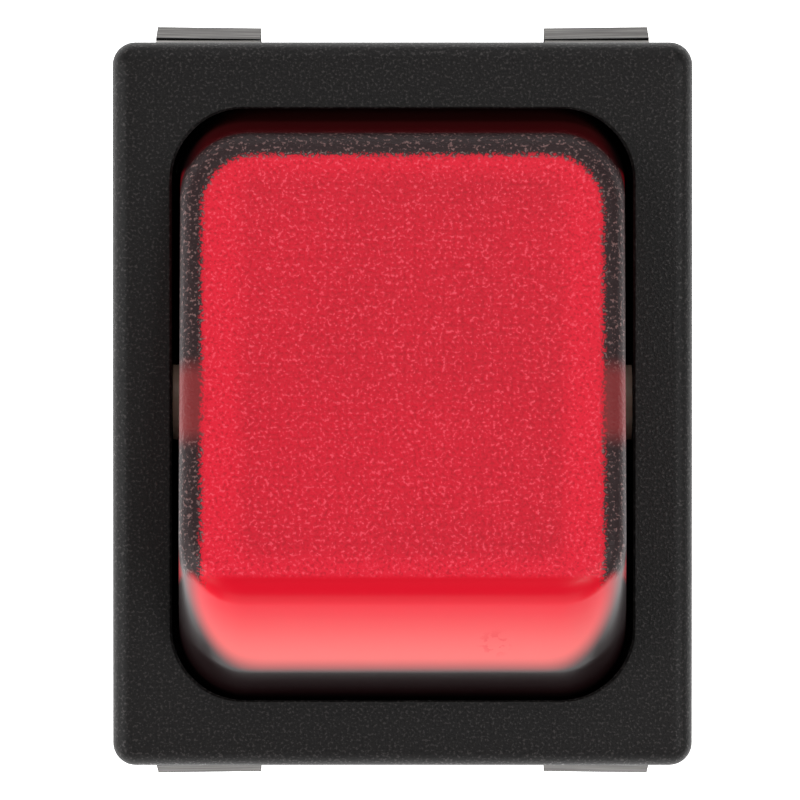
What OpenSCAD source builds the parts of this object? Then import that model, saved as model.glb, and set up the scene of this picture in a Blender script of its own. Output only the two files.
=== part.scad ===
// Lighted double-pole rocker switch that snaps into a rectangular panel cut-out.
// Frame: the origin is the centre of the cut-out on the bezel's underside, which lies on the panel's
// front face. +Z points out of the panel, +X to the right, and +Y to the end that is pressed in at rest.

/* [Panel] */
// Width of the panel cut-out
cutout_w = 22.2; // [21.6:0.1:25]
// Length of the panel cut-out
cutout_l = 30.2; // [29.4:0.1:34]
// Gap on each side between the body and the cut-out
cutout_gap = 0.1; // [0.05:0.05:0.2]
// Thickness of the panel that the clips close behind
panel_t = 2; // [1:0.1:3]

/* [Bezel] */
// Lip of the bezel past the cut-out along each long side
lip_side = 1.6; // [1:0.1:3]
// Lip of the bezel past the cut-out at each end
lip_end = 0.75; // [0.5:0.05:2.5]
// Height of the bezel above the panel
bezel_t = 2.2; // [1.6:0.1:3]
// Corner radius of the bezel in plan
bezel_corner_r = 1; // [0.9:0.1:3]
// Rounding of the bezel's front outer edge
bezel_edge_r = 0.8; // [0.3:0.1:0.8]
// Chamfer around the front of the opening
mouth_chamfer = 0.25; // [0.1:0.05:0.5]

/* [Body] */
// Wall along each long side of the body
side_wall = 0.9; // [0.7:0.1:1.4]
// End wall at the level of the pivot
end_wall = 1.5; // [1.3:0.1:2]
// End wall around the contact chamber
chamber_end_wall = 3; // [2.6:0.1:3.4]
// Corner radius of the opening and of the chamber
well_corner_r = 3.2; // [2:0.1:4]
// Corner radius of the body in plan
body_corner_r = 1; // [0.5:0.1:1.5]
// Thickness of the base plate
base_t = 3; // [2:0.1:4]
// Height of the rim on the base that enters the chamber
base_rim_h = 1.5; // [0.8:0.1:2]
// Thickness of that rim
base_rim_t = 0.7; // [0.5:0.1:0.8]
// Height of the barrier wall between the two poles
barrier_h = 5; // [3:0.5:6]
// Thickness of the barrier wall
barrier_t = 1; // [0.8:0.1:1.6]
// Width of each latch tongue on the base
latch_w = 6; // [4:0.5:8]
// Height of each latch tongue above the base
latch_h = 5; // [4:0.5:6]
// Thickness of each latch tongue
latch_t = 0.9; // [0.7:0.1:1]
// How far each latch catch reaches into the end wall
latch_catch = 0.5; // [0.3:0.1:0.7]

/* [Rocker] */
// Depth of the pivot below the front of the bezel
pivot_depth = 3.9; // [3.6:0.1:4.4]
// Tilt of the rocker to each side of level
rest_tilt = 13; // [8:1:13]
// Height of the top face above the pivot
cap_rise = 8; // [7.4:0.1:9]
// Height above the pivot where the end face leaves the swept arc
shoulder_z = 3.9; // [3:0.1:5]
// Slope of each end face from upright
end_slope = 32; // [20:1:38]
// Depth of the skirt below the pivot
skirt_drop = 2.3; // [2:0.1:3]
// Gap between the rocker and each long side of the opening
cap_side_gap = 0.25; // [0.15:0.05:0.4]
// Gap between the rocker's arc and the end wall
cap_end_gap = 0.3; // [0.2:0.05:0.5]
// How much narrower the top is than the skirt on each side
cap_draft = 0.17; // [0:0.01:0.4]
// Corner radius of the rocker in plan
cap_corner_r = 3; // [2:0.1:3.4]
// Rounding of the top face's edge
cap_edge_r = 0.8; // [0.3:0.1:1]
// Wall of the rocker cap
cap_wall = 1; // [0.8:0.05:1.2]
// Thickness of the cap under the top face
cap_top_t = 1.2; // [0.8:0.1:1.4]

/* [Carrier] */
// Diameter of the two trunnions
trunnion_d = 3.3; // [2.4:0.1:3.6]
// Radial running clearance around each trunnion
trunnion_fit = 0.05; // [0.03:0.01:0.1]
// Depth of the blind pocket that holds each trunnion
pocket_depth = 0.5; // [0.3:0.1:0.6]
// Gap between a trunnion's end and the floor of its pocket
trunnion_end_gap = 0.1; // [0.05:0.05:0.2]
// Underside of the carrier plate above the pivot
plate_z = 0.3; // [0:0.1:0.6]
// Thickness of the carrier plate
plate_t = 1.2; // [1:0.1:1.4]
// Gap between the carrier plate and the cap's walls
plate_gap = 0.1; // [0.05:0.05:0.2]
// Wall of each plunger sleeve
sleeve_wall = 0.5; // [0.4:0.1:0.6]
// Width of the diffuser plate
diffuser_w = 14.3; // [12:0.1:15]
// Length of the diffuser plate
diffuser_l = 17.2; // [15:0.1:18]
// Thickness of the diffuser plate
diffuser_t = 0.8; // [0.5:0.1:1]
// Gap between the diffuser and the cap above it
diffuser_gap = 0.1; // [0.05:0.05:0.2]
// Diameter of the posts that carry the diffuser
post_d = 1.6; // [1.2:0.1:2]

/* [Lamp] */
// Diameter of the neon lamp
lamp_d = 4; // [3:0.1:4]
// Length of the neon lamp
lamp_l = 10; // [8:0.5:12]
// Wall of the lamp's glass
glass_t = 0.4; // [0.3:0.1:0.6]
// Diameter of the lamp's and resistor's wires
wire_d = 0.5; // [0.4:0.1:0.6]
// Diameter of the resistor's body
resistor_d = 1.9; // [1.6:0.1:2]
// Length of the resistor's body
resistor_l = 5; // [4:0.5:6]

/* [Contacts] */
// Distance of each pole from the middle
pole_x = 5.6; // [5.4:0.1:5.8]
// Distance of the plunger tip's centre from the pivot
tip_reach = 9.25; // [9:0.05:9.4]
// Radius of the plunger's round tip and shaft
tip_r = 1; // [0.8:0.05:1]
// Radius of the plunger's flange
flange_r = 1.6; // [1.5:0.05:1.7]
// Thickness of the plunger's flange
flange_t = 0.6; // [0.5:0.1:0.8]
// Running clearance between plunger and sleeve
plunger_fit = 0.08; // [0.05:0.01:0.1]
// Wire diameter of the plunger spring
spring_wire = 0.36; // [0.3:0.02:0.4]
// Number of turns of the plunger spring
spring_turns = 8; // [6:1:9]
// Rise of each arm of the moving contact from flat
arm_rise = 10; // [8:1:10]
// Length of each arm of the moving contact
arm_l = 9.7; // [9.5:0.1:9.9]
// Width of the moving contact's arms
arm_w = 4; // [3:0.1:4.4]
// Thickness of the moving contact
arm_t = 0.6; // [0.4:0.05:0.7]
// Radius of the knuckle that the moving contact rocks on
knuckle_r = 0.9; // [0.85:0.05:1]
// Distance of the contact button from the fulcrum
button_y = 8.2; // [7.8:0.1:8.2]
// Diameter of the contact buttons
button_d = 3; // [2.4:0.1:3.2]
// Thickness of the moving contact button
button_t = 0.7; // [0.5:0.05:0.8]
// Height of the fixed contact's head
fixed_head_t = 0.8; // [0.6:0.05:1]

/* [Terminals] */
// Width of the terminal tabs
tab_w = 6.3; // [4.8:0.1:6.3]
// Thickness of the terminal tabs and strips
tab_t = 0.8; // [0.5:0.1:0.8]
// Length of the tabs below the base
tab_l = 8.5; // [7:0.5:12]
// Distance of each tab's middle from the fulcrum line
tab_y = 10.6; // [10.5:0.1:10.7]
// Diameter of the hole in each tab
tab_hole_d = 1.7; // [1.2:0.1:2]
// Distance of that hole from the tab's tip
tab_hole_up = 3.4; // [3:0.1:4]
// Chamfer at the corners of each tab's tip
tab_chamfer = 1; // [0.5:0.1:1.4]
// Width of the strips on the base
strip_w = 4.5; // [3.6:0.1:5]

/* [Clips] */
// Thickness of the clips' spring steel
clip_t = 0.2; // [0.15:0.05:0.25]
// Width of each clip
clip_w = 4.6; // [3.6:0.1:4.8]
// Distance of a clip's outer edge from the side of the body
clip_side_gap = 0.1; // [0.05:0.05:0.3]
// How far a clip's free edge stands out past the body
clip_edge_out = 1.05; // [0.8:0.05:1.2]
// How far the widest bend stands out past the body
clip_bend_out = 1.55; // [1.25:0.05:1.6]
// Height from the free edge down to the widest bend
clip_bend_drop = 3; // [2:0.1:4]
// Height from the widest bend down to the root
clip_ramp_drop = 5.4; // [4.5:0.1:5.5]
// Turn of each clip that brings its outer corner further out
clip_splay = 0.7; // [0:0.1:1]
// Depth of the recess behind each clip
clip_recess = 1; // [0.8:0.1:1.2]

/* [Hidden] */

LEFT = -1;
RIGHT = 1;
REAR = 1;
FRONT = -1;
over = 1; // how far cutting shapes run past a face
$fn = 48;

// Body and opening
body_w = cutout_w - 2 * cutout_gap;
body_l = cutout_l - 2 * cutout_gap;
bezel_w = cutout_w + 2 * lip_side;
bezel_l = cutout_l + 2 * lip_end;
pivot_z = bezel_t - pivot_depth;
well_half_w = body_w / 2 - side_wall;
well_r = body_l / 2 - end_wall;
chamber_half_l = body_l / 2 - chamber_end_wall;

// Rocker
skirt_half_w = well_half_w - cap_side_gap;
skirt_r = well_r - cap_end_gap;
shoulder_y = sqrt(skirt_r * skirt_r - shoulder_z * shoulder_z);
cavity_top = cap_rise - cap_top_t;
end_wall_run = cap_wall / cos(end_slope); // the sloping end wall measured along Y
notch_r = trunnion_d / 2 + trunnion_fit;
lug_w = 6; // snap lugs at the ends of the carrier plate
lug_h = 0.8;
lug_out = 0.35;
lug_gap = 0.05;

// Moving contact, measured in the plane of its swing about the fulcrum
arm_under = knuckle_r - arm_t + 0.006; // distance of an arm's underside from the fulcrum
contact_gap = 0.01; // left between faces that meet when the switch is made
tip_gap = 0.115; // between the plunger's tip and the moving contact when level
knuckle_w = arm_w + 1;
fulcrum_z = pivot_z - tip_reach - tip_gap - (arm_under + arm_t + tip_r) / cos(arm_rise);
closed_z = fulcrum_z + arm_under; // underside of an arm that lies level
fixed_top = closed_z - button_t - contact_gap;
strip_top = fixed_top - fixed_head_t;
deck_z = strip_top - tab_t; // top of the base, where the strips lie
saddle_gap = 0.05;
cheek_t = 0.6;
saddle_half_l = knuckle_r + 0.8;
saddle_half_w = knuckle_w / 2 + saddle_gap + cheek_t;
slot_gap = 0.05;
shank_r = 0.8; // rivet shank of the fixed contact
tab_tip_z = deck_z - base_t - tab_l;

// Carrier and plungers, measured from the pivot with the rocker level
plate_half_w = skirt_half_w - cap_wall - plate_gap;
plate_top = plate_z + plate_t;
plate_half_l = sqrt(skirt_r * skirt_r - plate_top * plate_top) - cap_wall - plate_gap;
sleeve_bore = flange_r + plunger_fit;
sleeve_r = sleeve_bore + sleeve_wall;
lip_t = 0.7;
flange_z = -(tip_reach - tip_r - 1.15); // underside of the plunger's flange
sleeve_end = flange_z - 0.05 - lip_t;
spring_foot = flange_z + flange_t;
spring_r = flange_r - spring_wire / 2 - 0.15; // middle of the wire
stub_r = spring_r - spring_wire / 2 - 0.15;
stub_h = 1.4;
diffuser_z = cavity_top - diffuser_gap - diffuser_t;
post_inset = post_d / 2 + 0.1;
brass_t = 0.3;
peg_y = 2.6; // staked pegs that hold each contact plate
peg_r = 0.5;
plate_strip_half_l = 3.5;
solder_tab_h = 2;
solder_tab_w = 1.6;

// Lamp and resistor
lamp_z = diffuser_z - 0.15 - lamp_d / 2;
lamp_y = 0.8; // middle of the lamp
lamp_fit = 0.05; // clearance around the lamp in its seat
cradle_half_gap = 3; // from the lamp's middle to each cradle rib
cradle_t = 1;
electrode_x = 0.6;
pinch_l = 1.5;
resistor_x = lamp_d / 2 + 0.9 + resistor_d / 2;
resistor_z = plate_top + brass_t + 0.7 + resistor_d / 2;
wire_y = -5.4; // cross run of the lamp's wires
bead_l = 1.2; // thicker ends of the resistor

// Clips
clip_free_z = -(panel_t + 0.1);
clip_bend_z = clip_free_z - clip_bend_drop;
clip_root_z = clip_bend_z - clip_ramp_drop;
clip_foot_z = deck_z + 1.6;
clip_foot_l = 1.2;
clip_x = body_w / 2 - clip_side_gap - clip_w / 2;
recess_y = body_l / 2 - clip_recess;

black_nylon = [0.12, 0.11, 0.11];
clear_red = [0.80, 0.10, 0.18];
tan_nylon = [0.78, 0.66, 0.50];
opal = [0.93, 0.91, 0.88];
spring_steel = [0.24, 0.22, 0.20];
brass = [0.80, 0.62, 0.30];
silver = [0.82, 0.82, 0.84];
plated_steel = [0.70, 0.70, 0.72];
clear_glass = [0.80, 0.88, 0.90];
resistor_blue = [0.45, 0.62, 0.72];

// Half-length of a section at height z through a drum of radius r that lies along X
function drum(r, z) = sqrt(r * r - z * z);

// Rounded rectangle at height z, as a ring of points that runs anticlockwise
function rounded_ring(half_w, half_l, r, z, steps = 8) = [
    for (quarter = [0:3]) for (step = [0:steps])
        let (
            a = 90 * (quarter + step / steps),
            side = quarter == 0 || quarter == 3 ? 1 : -1,
            end = quarter < 2 ? 1 : -1
        )
        [side * (half_w - r) + r * cos(a), end * (half_l - r) + r * sin(a), z]
];

// Outline of a bent sheet of thickness t whose left face follows the path
function sheet(path, t) = concat(path, [for (i = [len(path) - 1:-1:0]) path[i] + t * mitre(path, i)]);

// Right-hand normal of the step from a to b
function right_of(a, b) = [b[1] - a[1], a[0] - b[0]] / norm(b - a);

// Offset for one unit of thickness at a point of a path
function mitre(path, i) =
    let (
        last = len(path) - 1,
        into = right_of(path[max(i - 1, 0)], path[max(i, 1)]),
        out = right_of(path[min(i, last - 1)], path[min(i + 1, last)])
    )
    (into + out) / (1 + into * out);

// Solid skin over a stack of rings that have the same number of points
module loft(rings) {
    n = len(rings[0]);
    last = len(rings) - 1;
    polyhedron(
        points = [for (ring = rings) each ring],
        faces = concat(
            [[for (i = [0:n - 1]) i]],
            [[for (i = [n - 1:-1:0]) last * n + i]],
            [for (k = [0:last - 1]) for (i = [0:n - 1])
                let (j = (i + 1) % n)
                [k * n + i, (k + 1) * n + i, (k + 1) * n + j, k * n + j]]
        )
    );
}

// Round wire along a polyline, with a ball at each bend
module wire(points, d) {
    for (i = [0:len(points) - 2]) {
        run = points[i + 1] - points[i];
        translate(points[i])
            rotate([0, acos(run[2] / norm(run)), atan2(run[1], run[0])])
                cylinder(d = d, h = norm(run));
    }
    for (i = [1:len(points) - 2])
        translate(points[i]) sphere(d = d + 0.02);
}

// Rounded rectangle made of true arcs
module rounded_outline(w, l, r) {
    square([w - 2 * r, l], center = true);
    square([w, l - 2 * r], center = true);
    for (x = [-1, 1], y = [-1, 1])
        translate([x * (w / 2 - r), y * (l / 2 - r)]) circle(r);
}

// A profile drawn in Y and Z, extruded along X about the middle
module along_x(w) {
    rotate([90, 0, 90]) linear_extrude(w, center = true) children();
}

// From the rocker's level frame about the pivot to its rest pose
module rocker_pose() {
    translate([0, 0, pivot_z]) rotate([-rest_tilt, 0, 0]) children();
}

// From the moving contact's level frame about the fulcrum to its rest pose
module contact_pose(side) {
    translate([side * pole_x, 0, fulcrum_z]) rotate([arm_rise, 0, 0]) children();
}

module bezel() {
    steps = 6;
    loft(concat(
        [rounded_ring(bezel_w / 2, bezel_l / 2, bezel_corner_r, 0)],
        [for (step = [0:steps])
            let (
                a = 90 * step / steps,
                inset = bezel_edge_r * (1 - cos(a))
            )
            rounded_ring(
                bezel_w / 2 - inset, bezel_l / 2 - inset, bezel_corner_r - inset,
                bezel_t - bezel_edge_r * (1 - sin(a))
            )]
    ));
}

// Space inside the housing: the swept drum above the straight chamber
module well() {
    steps = 12;
    drum_foot = -sqrt(well_r * well_r - chamber_half_l * chamber_half_l);
    loft(concat(
        [rounded_ring(well_half_w, chamber_half_l, well_corner_r, deck_z - over)],
        [for (step = [0:steps])
            let (z = drum_foot + (pivot_depth - mouth_chamfer - drum_foot) * step / steps)
            rounded_ring(well_half_w, drum(well_r, z), well_corner_r, pivot_z + z)],
        [rounded_ring(
            well_half_w + mouth_chamfer, drum(well_r, pivot_depth) + mouth_chamfer,
            well_corner_r + mouth_chamfer, bezel_t
        )],
        [rounded_ring(
            well_half_w + mouth_chamfer, drum(well_r, pivot_depth) + mouth_chamfer,
            well_corner_r + mouth_chamfer, bezel_t + over
        )]
    ));
}

module clip_recesses() {
    reach = clip_w + clip_side_gap + 0.1;
    for (side = [LEFT, RIGHT], end = [FRONT, REAR]) {
        translate([side * (body_w / 2 + over - (reach + over) / 2), end * (recess_y + over), deck_z / 2])
            cube([reach + over, 2 * over, -deck_z], center = true);
        translate([side * clip_x, end * (recess_y - (clip_foot_l + 0.2) / 2 + over / 2), clip_foot_z])
            cube([clip_w + 0.2, clip_foot_l + 0.2 + over, clip_t + 0.2], center = true);
    }
}

module latch_channels() {
    for (end = [FRONT, REAR]) {
        translate([0, end * (body_l / 2 - (latch_t + 0.1 - over) / 2), deck_z + (latch_h + 0.1 - over) / 2])
            cube([latch_w + 0.2, latch_t + 0.1 + over, latch_h + 0.1 + over], center = true);
        translate([0, end * (body_l / 2 - latch_t - latch_catch / 2), deck_z + latch_h - 1.5])
            cube([latch_w + 0.2, latch_catch + 0.4, 1.4], center = true);
    }
}

// Room for a terminal's strip and tab where they come near the rim and the end wall
module terminal_room(side, end) {
    room_l = tab_y + tab_t / 2 + slot_gap;
    translate([side * pole_x, end * room_l / 2, deck_z])
        linear_extrude(tab_t + slot_gap) square([tab_w + 2 * slot_gap, room_l], center = true);
}

module housing() {
    color(black_nylon)
        difference() {
            union() {
                bezel();
                translate([0, 0, deck_z])
                    linear_extrude(-deck_z + bezel_t / 2) rounded_outline(body_w, body_l, body_corner_r);
            }
            well();
            for (side = [LEFT, RIGHT])
                translate([side * (well_half_w + pocket_depth - over), 0, pivot_z])
                    rotate([0, 90, 0]) cylinder(r = notch_r, h = 2 * over, center = true);
            clip_recesses();
            latch_channels();
            for (side = [LEFT, RIGHT], end = [FRONT, REAR]) terminal_room(side, end);
        }
}

module base() {
    rim_gap = 0.05;
    rim_w = 2 * (well_half_w - rim_gap);
    rim_l = 2 * (chamber_half_l - rim_gap);
    rim_r = well_corner_r - rim_gap;
    color(black_nylon)
        difference() {
            union() {
                translate([0, 0, deck_z - base_t])
                    linear_extrude(base_t) rounded_outline(body_w, body_l, body_corner_r);
                translate([0, 0, deck_z])
                    linear_extrude(base_rim_h)
                        difference() {
                            rounded_outline(rim_w, rim_l, rim_r);
                            rounded_outline(
                                rim_w - 2 * base_rim_t, rim_l - 2 * base_rim_t, rim_r - base_rim_t
                            );
                        }
                translate([0, 0, deck_z + barrier_h / 2])
                    cube([barrier_t, rim_l - base_rim_t, barrier_h], center = true);
                for (end = [FRONT, REAR]) {
                    translate([0, end * (body_l / 2 - latch_t / 2), deck_z + latch_h / 2])
                        cube([latch_w, latch_t, latch_h], center = true);
                    translate([0, end * (body_l / 2 - latch_t), deck_z + latch_h - 2])
                        scale([1, end, 1])
                            along_x(latch_w) polygon([[0, 0], [-latch_catch, 0], [0, 1]]);
                }
            }
            for (side = [LEFT, RIGHT], end = [FRONT, REAR]) {
                terminal_room(side, end);
                translate([side * pole_x, end * tab_y, deck_z - base_t / 2])
                    cube([tab_w + 2 * slot_gap, tab_t + 2 * slot_gap, base_t + 2 * over], center = true);
            }
        }
}

module clip(side, end) {
    free_y = body_l / 2 + clip_edge_out - clip_t;
    bend_y = body_l / 2 + clip_bend_out - clip_t;
    root_y = recess_y + 0.05;
    inner_face = [
        [free_y, clip_free_z], [bend_y, clip_bend_z], [root_y, clip_root_z],
        [root_y, clip_foot_z + clip_t / 2], [root_y - clip_foot_l, clip_foot_z + clip_t / 2]
    ];
    color(spring_steel)
        translate([side * clip_x, 0, 0])
            scale([side, end, 1])
                translate([0, recess_y, 0]) rotate([0, 0, clip_splay]) translate([0, -recess_y, 0])
                    along_x(clip_w) polygon(sheet(inner_face, -clip_t));
}

// Flat tab with a hole and a chamfered tip, its width along X, standing below the strip
module tab(end) {
    tip = tab_tip_z;
    translate([0, end * tab_y, 0])
        rotate([90, 0, 0])
            linear_extrude(tab_t, center = true)
                difference() {
                    polygon([
                        [-tab_w / 2, strip_top], [-tab_w / 2, tip + tab_chamfer],
                        [-tab_w / 2 + tab_chamfer, tip], [tab_w / 2 - tab_chamfer, tip],
                        [tab_w / 2, tip + tab_chamfer], [tab_w / 2, strip_top]
                    ]);
                    translate([0, tip + tab_hole_up]) circle(d = tab_hole_d);
                }
}

// Terminal on the pivot side: tab, strip, stop pip and the saddle that the moving contact rocks in
module load_terminal(side) {
    strip_end = saddle_half_l;
    color(plated_steel)
        translate([side * pole_x, 0, 0])
            difference() {
                union() {
                    tab(FRONT);
                    translate([-strip_w / 2, -tab_y - tab_t / 2, deck_z])
                        cube([strip_w, tab_y + tab_t / 2 + strip_end, tab_t]);
                    translate([-saddle_half_w, -saddle_half_l, deck_z])
                        cube([2 * saddle_half_w, 2 * saddle_half_l, fulcrum_z + 0.5 - deck_z]);
                    translate([0, -button_y, deck_z])
                        cylinder(r = 1.2, h = closed_z - contact_gap - deck_z);
                }
                translate([0, 0, fulcrum_z])
                    rotate([0, 90, 0])
                        cylinder(r = knuckle_r + saddle_gap, h = knuckle_w + 2 * saddle_gap, center = true);
                translate([0, 0, fulcrum_z + over])
                    cube([knuckle_w + 2 * saddle_gap, 2 * saddle_half_l + over, 2 * over], center = true);
            }
}

// Terminal under the fixed contact
module line_terminal(side) {
    strip_start = button_y - button_d / 2 - 0.4;
    color(plated_steel)
        translate([side * pole_x, 0, 0])
            difference() {
                union() {
                    tab(REAR);
                    translate([-strip_w / 2, strip_start, deck_z])
                        cube([strip_w, tab_y + tab_t / 2 - strip_start, tab_t]);
                }
                translate([0, button_y, deck_z - over])
                    cylinder(r = shank_r + 0.02, h = tab_t + 2 * over);
            }
}

module fixed_contact(side) {
    color(silver)
        translate([side * pole_x, button_y, 0]) {
            translate([0, 0, strip_top]) cylinder(d = button_d, h = fixed_head_t);
            translate([0, 0, deck_z]) cylinder(r = shank_r, h = tab_t);
        }
}

// Half-width of the cap at height z above the pivot
function cap_half_w(z) = skirt_half_w - cap_draft * (z + skirt_drop) / (cap_rise + skirt_drop);

// Half-length of the cap at height z: an arc up to the shoulder, then a sloping end face
function cap_half_l(z) = z < shoulder_z ? drum(skirt_r, z) : shoulder_y - (z - shoulder_z) * tan(end_slope);

module cap_outside() {
    arc_steps = 8;
    edge_steps = 6;
    end_inset = tan((90 - end_slope) / 2); // the end edge turns less than a right angle
    loft(concat(
        [for (step = [0:arc_steps])
            let (z = -skirt_drop + (shoulder_z + skirt_drop) * step / arc_steps)
            rounded_ring(cap_half_w(z), cap_half_l(z), cap_corner_r, z)],
        [for (step = [0:edge_steps])
            let (
                a = 90 * step / edge_steps,
                inset = cap_edge_r * (1 - cos(a)),
                z = cap_rise - cap_edge_r * (1 - sin(a))
            )
            rounded_ring(
                cap_half_w(z) - inset, cap_half_l(z) - inset * end_inset, cap_corner_r - inset / 2, z
            )]
    ));
}

module cap_cavity() {
    steps = 6;
    r = cap_corner_r - cap_wall;
    loft(concat(
        [rounded_ring(skirt_half_w - cap_wall, drum(skirt_r, skirt_drop) - cap_wall, r, -skirt_drop - over)],
        [for (step = [0:steps])
            let (z = -skirt_drop + (shoulder_z + skirt_drop) * step / steps)
            rounded_ring(cap_half_w(z) - cap_wall, cap_half_l(z) - cap_wall, r, z)],
        [rounded_ring(
            cap_half_w(cavity_top) - cap_wall, cap_half_l(cavity_top) - end_wall_run, r, cavity_top
        )]
    ));
}

module rocker_cap() {
    notch_l = 2 * (skirt_half_w + over);
    lug_room = plate_half_l + lug_out + lug_gap;
    color(clear_red)
        rocker_pose()
            difference() {
                cap_outside();
                cap_cavity();
                rotate([0, 90, 0]) cylinder(r = notch_r, h = notch_l, center = true);
                translate([0, 0, -skirt_drop]) cube([notch_l, 2 * notch_r, 2 * skirt_drop], center = true);
                translate([0, 0, plate_z + plate_t / 2])
                    cube([lug_w + 2 * lug_gap, 2 * lug_room, lug_h + 2 * lug_gap], center = true);
            }
}

// Two ribs under the lamp, up to its middle
module lamp_cradle() {
    foot_z = plate_z + plate_t / 2;
    for (end = [FRONT, REAR])
        translate([0, lamp_y + end * cradle_half_gap, (foot_z + lamp_z) / 2])
            cube([lamp_d * 1.3, cradle_t, lamp_z - foot_z], center = true);
}

module rocker_carrier() {
    trunnion_end = well_half_w + pocket_depth - trunnion_end_gap;
    trunnion_start = plate_half_w - 1.2;
    plate_r = cap_corner_r - cap_wall;
    color(tan_nylon)
        rocker_pose()
            difference() {
                union() {
                    translate([0, 0, plate_z])
                        linear_extrude(plate_t) rounded_outline(2 * plate_half_w, 2 * plate_half_l, plate_r);
                    translate([0, 0, plate_z + plate_t / 2])
                        cube([lug_w, 2 * (plate_half_l + lug_out), lug_h], center = true);
                    translate([0, 0, (plate_z + 0.1 - trunnion_d / 2) / 2])
                        cube([2 * plate_half_w, trunnion_d * 0.7, trunnion_d / 2 + plate_z + 0.1], center = true);
                    for (side = [LEFT, RIGHT]) {
                        translate([side * trunnion_start, 0, 0])
                            rotate([0, side * 90, 0]) cylinder(d = trunnion_d, h = trunnion_end - trunnion_start);
                        translate([side * pole_x, 0, sleeve_end])
                            cylinder(r = sleeve_r, h = plate_z + 0.1 - sleeve_end);
                        for (end = [FRONT, REAR]) {
                            translate([
                                side * (diffuser_w / 2 - post_inset), end * (diffuser_l / 2 - post_inset),
                                plate_top - 0.1
                            ])
                                cylinder(d = post_d, h = diffuser_z - plate_top + 0.1);
                            translate([side * pole_x, end * peg_y, plate_top - 0.1])
                                cylinder(r = peg_r, h = brass_t + 0.5);
                        }
                    }
                    lamp_cradle();
                }
                translate([0, lamp_y, lamp_z])
                    rotate([90, 0, 0])
                        cylinder(r = lamp_d / 2 + lamp_fit, h = lamp_l + 2 * lamp_fit, center = true);
                for (side = [LEFT, RIGHT])
                    translate([side * pole_x, 0, 0]) {
                        translate([0, 0, sleeve_end + lip_t]) cylinder(r = sleeve_bore, h = tip_reach + over);
                        translate([0, 0, sleeve_end - over]) cylinder(r = tip_r + plunger_fit, h = lip_t + 2 * over);
                    }
            }
}

module diffuser() {
    color(opal)
        rocker_pose()
            translate([0, 0, diffuser_z])
                linear_extrude(diffuser_t) rounded_outline(diffuser_w, diffuser_l, 1);
}

// Closed glass tube with a domed tip to the rear and a pinched foot that the two leads pass through
module lamp_glass() {
    r = lamp_d / 2;
    inner_r = r - glass_t;
    color(clear_glass)
        rocker_pose()
            translate([0, lamp_y - lamp_l / 2, lamp_z])
                rotate([-90, 0, 0])
                    difference() {
                        union() {
                            cylinder(r = r, h = lamp_l - r);
                            translate([0, 0, lamp_l - r]) sphere(r);
                        }
                        translate([0, 0, pinch_l]) cylinder(r = inner_r, h = lamp_l - r - pinch_l);
                        translate([0, 0, lamp_l - r]) sphere(inner_r);
                        for (side = [LEFT, RIGHT])
                            translate([side * electrode_x, 0, -over])
                                cylinder(d = wire_d + 0.04, h = pinch_l + 2 * over);
                    }
}

module lamp_leads() {
    inner_end = lamp_y + lamp_l / 2 - lamp_d / 2 - 1.5;
    left_tab = [-pole_x, -plate_strip_half_l - wire_d / 2, plate_top + brass_t + 1];
    color(plated_steel)
        rocker_pose() {
            wire([
                [-electrode_x, inner_end, lamp_z], [-electrode_x, wire_y, lamp_z],
                [left_tab[0], wire_y, left_tab[2]], left_tab
            ], wire_d);
            wire([
                [electrode_x, inner_end, lamp_z], [electrode_x, wire_y, lamp_z],
                [resistor_x, wire_y, resistor_z], [resistor_x, -resistor_l / 2 - 1, resistor_z]
            ], wire_d);
        }
}

module resistor() {
    half_l = resistor_l / 2;
    bead_r = resistor_d / 2 + 0.15;
    right_tab = [pole_x, plate_strip_half_l + wire_d / 2, plate_top + brass_t + 1];
    color(resistor_blue)
        rocker_pose() {
            translate([resistor_x, 0, resistor_z])
                rotate([-90, 0, 0])
                    rotate_extrude()
                        polygon([
                            [0, -half_l - 1], [wire_d / 2, -half_l - 1], [wire_d / 2, -half_l],
                            [bead_r, -half_l], [bead_r, bead_l - half_l],
                            [resistor_d / 2, bead_l - half_l], [resistor_d / 2, half_l - bead_l],
                            [bead_r, half_l - bead_l], [bead_r, half_l], [0, half_l]
                        ]);
            wire([
                [resistor_x, half_l - 0.2, resistor_z], [resistor_x, half_l + 2, resistor_z],
                [right_tab[0], half_l + 2, right_tab[2]], right_tab
            ], wire_d);
        }
}

// Brass plate over a sleeve that the spring presses on, with an upturned solder tab
module contact_plate(side) {
    length = 2 * plate_strip_half_l;
    color(brass)
        rocker_pose()
            translate([side * pole_x, 0, plate_top])
                difference() {
                    union() {
                        translate([0, 0, brass_t / 2]) cube([2 * sleeve_bore + 0.6, length, brass_t], center = true);
                        translate([0, side * (plate_strip_half_l - brass_t / 2), solder_tab_h / 2])
                            cube([solder_tab_w, brass_t, solder_tab_h], center = true);
                    }
                    for (end = [FRONT, REAR])
                        translate([0, end * peg_y, -over]) cylinder(r = peg_r + 0.05, h = brass_t + 2 * over);
                }
}

module plunger(side) {
    color(brass)
        rocker_pose()
            translate([side * pole_x, 0, 0])
                union() {
                    translate([0, 0, -tip_reach]) sphere(tip_r);
                    translate([0, 0, -tip_reach]) cylinder(r = tip_r, h = tip_reach + flange_z);
                    translate([0, 0, flange_z]) cylinder(r = flange_r, h = flange_t);
                    translate([0, 0, spring_foot]) cylinder(r = stub_r, h = stub_h);
                }
}

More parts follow.
